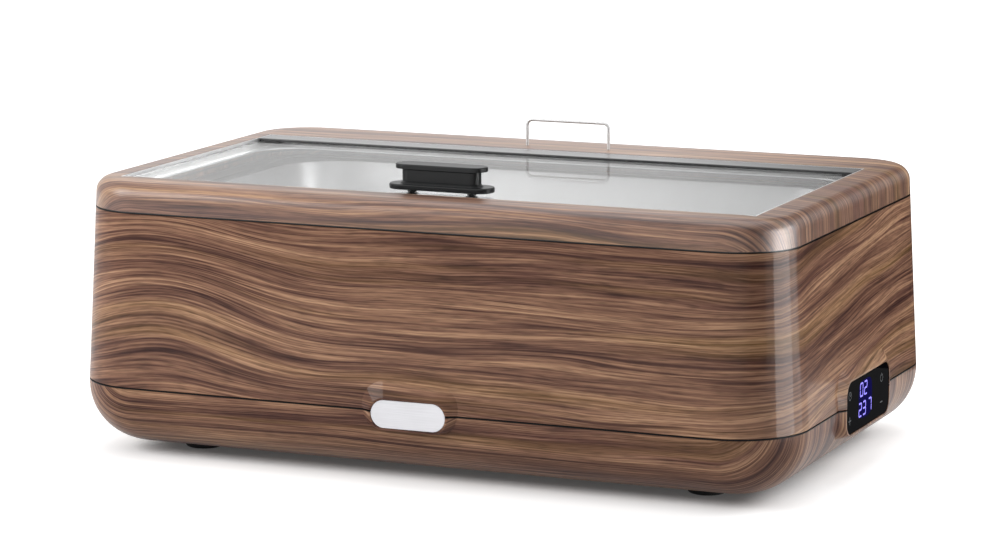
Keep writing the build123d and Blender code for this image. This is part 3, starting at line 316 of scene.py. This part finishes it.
def pan_steel():
    """Satin pan steel, with the flat of its rim painted darker as a painted reflection of the dark rim and
    liner round it.
    """
    look = Look("pan_steel")
    fine = look.noise(look.scaled(look.place, BRUSHED), detail=3)
    # Painted reflection: the top half millimetre of the pan, the flat of its rim, gets a darker steel
    # colour
    below_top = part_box("food_pan")[1].z - 0.5 * MM
    sharpness = 4000
    painted_rim_reflection = look.math("SUBTRACT", look.split(look.place)[2], below_top)
    painted_rim_reflection = look.math("MULTIPLY", painted_rim_reflection, sharpness, clamp=True)
    look.set(Base_Color=look.blend(painted_rim_reflection, srgb(192, 192, 193), srgb(146, 146, 147)), Metallic=1.0)
    look.set(Roughness=look.swing(fine, 0.1, 0.34))
    look.bump(fine, 0.25, 0.01 * MM)
    return look.material


GLASS_TINT = (0.915, 0.92, 0.918, 1)


def clear_glass():
    """Clear lid glass that lets lamp light straight through."""
    look = Look("clear_glass")
    smear = look.noise(look.scaled(look.place, (30, 50, 1)), detail=2)
    look.set(Base_Color=GLASS_TINT, Transmission_Weight=1.0, IOR=1.1)
    look.set(Roughness=look.math("MULTIPLY", smear, 0.02))
    open_air = look.add("ShaderNodeBsdfTransparent", {0: GLASS_TINT}).outputs[0]
    shadow = look.add("ShaderNodeLightPath", {}).outputs["Is Shadow Ray"]
    look.finish_mix(shadow, look.shader.outputs[0], open_air)
    return look.material


def glow(name, colour, strength):
    """Lit segment behind the panel glass."""
    look = Look(name)
    shade = look.noise(look.place, 300, detail=1)
    look.set(Base_Color=colour, Roughness=0.4, Specular_IOR_Level=0.0, Emission_Strength=strength)
    dim = tuple(c * 0.7 for c in colour[:3]) + (1,)
    look.set(Emission_Color=look.blend(look.swing(shade, 2, 0.5, clamp=True), dim, colour))
    return look.material


dress(walnut("walnut_body", grain_round, 1.7), "body_shell")
rim_wood = walnut(
    "walnut_rim", lambda look: grain_over(look, rim_top, 1), 7.3, gloss=0.5, coat=0.35, mist=0.3
)
dress(rim_wood, "top_frame")
dress(walnut("walnut_tray", lambda look: grain_over(look, tray_bottom, -1), 4.1), "base_tray")

steel = plain("brushed_steel", srgb(205, 205, 206), 0.32, 1.0, BRUSHED, 0.01)
deck_steel = plain("deck_steel", srgb(226, 226, 226), 0.42, 1.0, BRUSHED, 0.01)
bright = plain("bright_steel", srgb(215, 215, 218), 0.12, 1.0, (300, 300, 300), 0.004)
black_metal = plain(
    "black_lacquer", srgb(24, 25, 26), 0.32, 0.0, (900, 900, 900), 0.01, Specular_IOR_Level=0.25
)
black_plastic = plain("black_plastic", srgb(22, 22, 23), 0.5, 0.0, (700, 700, 700), 0.03)
rubber = plain("black_rubber", srgb(16, 16, 17), 0.7, 0.0, (500, 500, 500), 0.05)
aluminium = plain("cast_aluminium", srgb(190, 190, 192), 0.4, 1.0, (250, 250, 250), 0.03)
board = plain("circuit_board", srgb(18, 84, 48), 0.45, 0.0, (150, 150, 150), 0.02)
copper = plain("copper_winding", srgb(170, 96, 52), 0.35, 1.0, (60, 60, 1500), 0.1)
cream = plain("white_plastic", srgb(214, 212, 204), 0.45, 0.0, (500, 500, 500), 0.02)
silver = plain("silver_plate", srgb(231, 231, 235), 0.3, 0.2, (30, 30, 1200), 0.006)
wire = plain("satin_wire", srgb(214, 214, 214), 0.42, 0.55, (500, 500, 500), 0.01)
rail_black = plain(
    "rail_lacquer", srgb(26, 26, 27), 0.3, 0.0, (600, 900, 900), 0.01, Coat_Weight=0.6
)
panel_black = plain(
    "black_panel_glass", srgb(9, 9, 12), 0.16, 0.0, (40, 40, 40), 0.0005,
    Specular_IOR_Level=0.0, Coat_Weight=0.03, Coat_Roughness=0.03
)

dress(deck_steel, "water_pan", "frame_liner")
dress(pan_steel(), "food_pan")
dress(steel, "heat_shield", "heater_clamps", "shield_spacers")
dress(bright, "loop_nuts", "hinge_pins", "liner_screws", "bracket_screws", "foot_screws")
dress(bright, "housing_screws", "carrier_screws", "inlet_screws", "inlet_pins", "board_screws")
dress(bright, "cutout_screws", "heater_studs", "clamp_nuts", "shield_nuts")
dress(bright, "temperature_sensor", "touch_springs")
dress(wire, "wire_loop")
dress(rail_black, "lid_rail")
dress(black_metal, "grip_base", "grip_top", "grip_screws", "heater_element")
dress(black_plastic, "hinge_bracket_left", "hinge_bracket_right", "grip_spacers", "panel_carrier")
dress(black_plastic, "power_inlet", "thermal_cutout", "relay", "capacitors")
dress(rubber, "foot_1", "foot_2", "foot_3", "foot_4", "lid_bumpers", "grip_washers")
dress(aluminium, "heater_plate")
dress(board, "control_board", "power_board")
dress(copper, "transformer")
dress(cream, "display_module", "element_terminals", "terminal_block")
dress(silver, "badge_plate")
dress(panel_black, "panel_glass")
dress(clear_glass(), "lid_glass")


def piece(name, mesh, body, material):
    """Adds a mesh as a piece that rides on a body."""
    thing = bpy.data.objects.new(name, mesh)
    scene.collection.objects.link(thing)
    mesh.materials.append(material)
    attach(thing, body)


# Panel display: two rows of seven-segment digits and four key icons on the glass.
# Places on the panel's face are given as (y, z).
PROUD = 0.06 * MM
DIGIT_WIDTH = 6.5 * MM
DIGIT_HEIGHT = 10 * MM
DIGIT_STEP = 10.5 * MM
panel_low, panel_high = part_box("panel_glass")
panel_y = (panel_low.y + panel_high.y) / 2
panel_z = (panel_low.z + panel_high.z) / 2
# Digits, and how far their lower left corner lies from the panel's middle
ROWS = (("02", -20 * MM, 4.5 * MM), ("23", -23 * MM, -11 * MM), ("7", 2 * MM, -11 * MM))
SEGMENTS = {
    "0": "abcdef", "1": "bc", "2": "abged", "3": "abgcd", "4": "fgbc",
    "5": "afgcd", "6": "afgedc", "7": "abc", "8": "abcdefg", "9": "abcdfg",
}


def add_bar(mesh, start, end, width):
    """Thin raised bar with pointed ends between two points of the panel's face."""
    start, end = Vector(start), Vector(end)
    run = (end - start).normalized() * width / 2
    side = Vector((-run.y, run.x))
    ring = [start, start + run + side, end - run + side, end, end - run - side, start + run - side]
    front = [mesh.verts.new((panel_high.x + PROUD, p.x, p.y)) for p in ring]
    back = [mesh.verts.new((panel_high.x, p.x, p.y)) for p in ring]
    mesh.faces.new(front)
    mesh.faces.new(back[::-1])
    for i in range(len(ring)):
        mesh.faces.new((front[i - 1], back[i - 1], back[i], front[i]))


def add_digit(mesh, digit, left, bottom):
    """Seven-segment digit with its lower left corner at a point of the panel's face."""
    right, top, middle = left + DIGIT_WIDTH, bottom + DIGIT_HEIGHT, bottom + DIGIT_HEIGHT / 2
    lines = {
        "a": ((left, top), (right, top)), "g": ((left, middle), (right, middle)),
        "d": ((left, bottom), (right, bottom)), "f": ((left, middle), (left, top)),
        "b": ((right, middle), (right, top)), "e": ((left, bottom), (left, middle)),
        "c": ((right, bottom), (right, middle)),
    }
    for key in SEGMENTS[digit]:
        add_bar(mesh, *lines[key], DIGIT_HEIGHT / 8)


def closed_mesh(name, build):
    """Mesh made by a function that fills a bmesh."""
    work = bmesh.new()
    build(work)
    bmesh.ops.recalc_face_normals(work, faces=work.faces)
    mesh = bpy.data.meshes.new(name)
    work.to_mesh(mesh)
    work.free()
    return mesh


def digits(work):
    """All the digits of the display."""
    for text, left, bottom in ROWS:
        for i, digit in enumerate(text):
            add_digit(work, digit, panel_y + left + i * DIGIT_STEP, panel_z + bottom)


def haze(work):
    """Dim lit window behind the digits, a plate whose outline is between an oval and a rectangle."""
    middle_y, middle_z = panel_y - 7 * MM, panel_z + 1.5 * MM
    half_width, half_height, points = 17 * MM, 15 * MM, 48
    outline = []
    for i in range(points):
        turn = 2 * math.pi * i / points
        reach = (math.cos(turn) ** 4 + math.sin(turn) ** 4) ** -0.25
        y = middle_y + half_width * reach * math.cos(turn)
        outline.append((y, middle_z + half_height * reach * math.sin(turn)))
    add_plate(work, outline, PROUD / 3)


def add_plate(mesh, outline, height):
    """Thin plate on the panel's face, from its outline."""
    front = [mesh.verts.new((panel_high.x + height, y, z)) for y, z in outline]
    back = [mesh.verts.new((panel_high.x, y, z)) for y, z in outline]
    mesh.faces.new(front)
    mesh.faces.new(back[::-1])
    for i in range(len(outline)):
        mesh.faces.new((front[i - 1], back[i - 1], back[i], front[i]))


def add_arc(mesh, y, z, radius, start, end, width):
    """Ring or part of one, in bars, round a point of the panel's face. Angles in degrees from the top."""
    steps = int((end - start) / 20)
    turns = [math.radians(start + (end - start) * i / steps) for i in range(steps + 1)]
    ring = [(y + radius * math.sin(turn), z + radius * math.cos(turn)) for turn in turns]
    for first, second in zip(ring, ring[1:]):
        add_bar(mesh, first, second, width)


def icons(work):
    """Four plain key icons: power and minus at the back, clock and plus at the front."""
    wide, size = 0.9 * MM, 3.2 * MM
    front, back = panel_y - 46 * MM, panel_y + 35 * MM
    upper, lower = panel_z + 9.7 * MM, panel_z - 9.8 * MM
    add_arc(work, back, upper, size, 35, 325, wide)
    add_bar(work, (back, upper + size * 0.3), (back, upper + size * 1.2), wide)
    add_bar(work, (back - size, lower), (back + size, lower), wide)
    add_arc(work, front, upper, size, 0, 360, wide)
    add_bar(work, (front, upper), (front, upper + size * 0.7), wide)
    add_bar(work, (front, upper), (front + size * 0.5, upper), wide)
    add_bar(work, (front - size, lower), (front + size, lower), wide)
    add_bar(work, (front, lower - size), (front, lower + size), wide)


lit_digits = glow("lit_digits", srgb(150, 140, 250), 1.0)
dim_blue = glow("dim_blue", srgb(20, 17, 70), 0.3)
dim_icons = glow("dim_icons", srgb(96, 98, 100), 0.5)
piece("panel_digits", closed_mesh("digits", digits), "base", lit_digits)
piece("panel_haze", closed_mesh("haze", haze), "base", dim_blue)
piece("panel_icons", closed_mesh("icons", icons), "base", dim_icons)

# Camera, fitted to the photograph's outlines
VIEW_AZIMUTH = math.radians(22.78)
VIEW_ELEVATION = math.radians(9.75)
VIEW_DISTANCE = 3.0725
VIEW_TARGET = Vector((-6.12, 0, 135.66)) * MM
LENS = 137.57
SENSOR_WIDTH = 36
camera = bpy.data.objects.new("camera", bpy.data.cameras.new("camera"))
scene.collection.objects.link(camera)
scene.camera = camera
away = Vector((
    math.sin(VIEW_AZIMUTH) * math.cos(VIEW_ELEVATION),
    -math.cos(VIEW_AZIMUTH) * math.cos(VIEW_ELEVATION),
    math.sin(VIEW_ELEVATION),
))
camera.data.lens = LENS
camera.data.sensor_width = SENSOR_WIDTH
camera.location = VIEW_TARGET + away * VIEW_DISTANCE
camera.rotation_mode = "QUATERNION"
camera.rotation_quaternion = (-away).to_track_quat("-Z", "Y")


# Studio: white floor that keeps the shadow, white world and soft lamps
WHITE = (1, 1, 1, 1)
# Painted shade: how much glow the bright floor loses where it is seen through the open lid
GLASS_PAINTED_SHADE = 0.24
FLOOR_RADIUS = 40
# The floor's own glow is a painted shadow round the housing: it rises steeply up to the first distance from
# the housing's core, then gently up to the second
NEAR = 50 * MM
FAR = 1.7


def studio_floor():
    """Pale floor that is plain grey to bounced light, and to the eye whiter away from the housing, with a
    painted shadow close round it.
    """
    look = Look("studio_floor")
    fine = look.noise(look.place, 3, detail=2)
    look.set(Base_Color=look.blend(fine, (0.60, 0.60, 0.60, 1), (0.62, 0.62, 0.62, 1)))
    look.set(Roughness=0.9, Specular_IOR_Level=0.0)
    lit = look.add("ShaderNodeBsdfDiffuse", {0: (0.9, 0.9, 0.9, 1)}).outputs[0]
    _, out = corner_frame(look)
    away = look.add("ShaderNodeVectorMath", {0: out}, operation="LENGTH").outputs["Value"]
    # Painted shadow: the floor's glow is low next to the housing and rises away from it
    painted_shadow_ramp = {"Value": away, "From Min": 0.0, "From Max": NEAR, "To Min": 0.05, "To Max": 0.44}
    gentle = {"Value": away, "From Min": NEAR, "From Max": FAR, "To Min": 0.0, "To Max": 0.3}
    painted_shadow_ramp = look.add("ShaderNodeMapRange", painted_shadow_ramp, interpolation_type="SMOOTHSTEP").outputs[0]
    glow_with_painted_shadow = look.math("ADD", painted_shadow_ramp, look.add("ShaderNodeMapRange", gentle).outputs[0])
    rays = look.add("ShaderNodeLightPath", {}).outputs
    # Painted shade on the floor where it is seen through glass
    painted_glass_shade = look.math("MULTIPLY", rays["Is Transmission Ray"], GLASS_PAINTED_SHADE)
    glow_with_painted_shadow = look.math("SUBTRACT", glow_with_painted_shadow, painted_glass_shade)
    shine = look.add("ShaderNodeEmission", {0: WHITE, 1: glow_with_painted_shadow}).outputs[0]
    white = look.add("ShaderNodeAddShader", {0: lit, 1: shine}).outputs[0]
    seen = look.math("MAXIMUM", rays["Is Camera Ray"], rays["Is Glossy Ray"])
    seen = look.math("MAXIMUM", seen, rays["Is Transmission Ray"])
    look.finish_mix(seen, look.shader.outputs[0], white)
    return look.material


def floor_disc(work):
    """Round floor whose edge lies out of sight."""
    bmesh.ops.create_circle(work, cap_ends=True, radius=FLOOR_RADIUS, segments=64)


floor = bpy.data.objects.new("floor", closed_mesh("floor", floor_disc))
floor.data.materials.append(studio_floor())
scene.collection.objects.link(floor)

# World: white to the eye, in reflections and through glass, and dimmer as a light
DIM_WORLD = 0.4
world = bpy.data.worlds.new("studio")
scene.world = world
world.use_nodes = True
tree = world.node_tree
air = tree.nodes["Background"]
air.inputs["Color"].default_value = WHITE
path = tree.nodes.new("ShaderNodeLightPath")
seen = path.outputs["Is Camera Ray"]
for kind in ("Is Glossy Ray", "Is Transmission Ray"):
    either = tree.nodes.new("ShaderNodeMath")
    either.operation = "MAXIMUM"
    tree.links.new(seen, either.inputs[0])
    tree.links.new(path.outputs[kind], either.inputs[1])
    seen = either.outputs[0]
level = tree.nodes.new("ShaderNodeMapRange")
level.inputs["To Min"].default_value = DIM_WORLD
level.inputs["To Max"].default_value = 1.0
tree.links.new(seen, level.inputs["Value"])
tree.links.new(level.outputs[0], air.inputs["Strength"])


def lamp(name, place, aim, width, height, watts):
    """Soft rectangular lamp at a place, facing a point."""
    data = bpy.data.lights.new(name, "AREA")
    data.shape = "RECTANGLE"
    data.size, data.size_y, data.energy = width, height, watts
    thing = bpy.data.objects.new(name, data)
    scene.collection.objects.link(thing)
    thing.location = place
    thing.rotation_mode = "QUATERNION"
    thing.rotation_quaternion = (Vector(aim) - Vector(place)).to_track_quat("-Z", "Y")
    thing.visible_camera = False
    return thing


lamp("left", (-1.25, -1.15, 0.9), (-0.1, 0, 0.1), 1.1, 0.9, 19)
lamp("right", (1.5, 1.5, 1.1), (0, 0, 0.1), 1.2, 1.0, 28)
lamp("top", (0.0, 0.1, 1.9), (0, 0, 0.1), 1.8, 1.6, 16)
# The bright band on the front right corner is the reflection of two upright lamps beside it
BAND_AIM = (0.28, -0.16, 0.12)
BAND_HEIGHT = 0.5
strip = lamp("strip", (0.606, -0.108, 0.12), BAND_AIM, 0.214, BAND_HEIGHT, 3.5)
fringe = lamp("fringe", (0.544, 0.039, 0.12), BAND_AIM, 0.116, BAND_HEIGHT, 0.55)
strip.visible_diffuse = fringe.visible_diffuse = False

# Over this length from its left edge a black card turns from clear to black
FADE_LENGTH = 0.3


def flag(name, left, right, height):
    """Black card that only reflections see, standing on the floor between two places in plan."""

    def card(work):
        corners = [(*left, 0), (*right, 0), (*right, height), (*left, height)]
        work.faces.new([work.verts.new(corner) for corner in corners])

    look = Look(name)
    shade = look.noise(look.place, 4)
    look.set(Base_Color=look.blend(shade, (0.01, 0.01, 0.01, 1), (0.014, 0.014, 0.014, 1)))
    look.set(Roughness=0.9)
    fade = {"Value": look.split(look.place)[0], "From Min": left[0], "From Max": left[0] + FADE_LENGTH}
    fade = look.add("ShaderNodeMapRange", fade).outputs[0]
    clear = look.add("ShaderNodeBsdfTransparent", {}).outputs[0]
    look.finish_mix(fade, clear, look.shader.outputs[0])
    thing = bpy.data.objects.new(name, closed_mesh(name, card))
    thing.data.materials.append(look.material)
    scene.collection.objects.link(thing)
    thing.visible_camera = thing.visible_transmission = False
    thing.visible_diffuse = thing.visible_shadow = False


flag("back_flag", (-0.02, 0.4), (0.95, 0.4), 0.8)
flag("front_flag", (0.70, -1.16), (1.3, -0.59), 1.6)

# View settings
scene.view_settings.view_transform = "Standard"
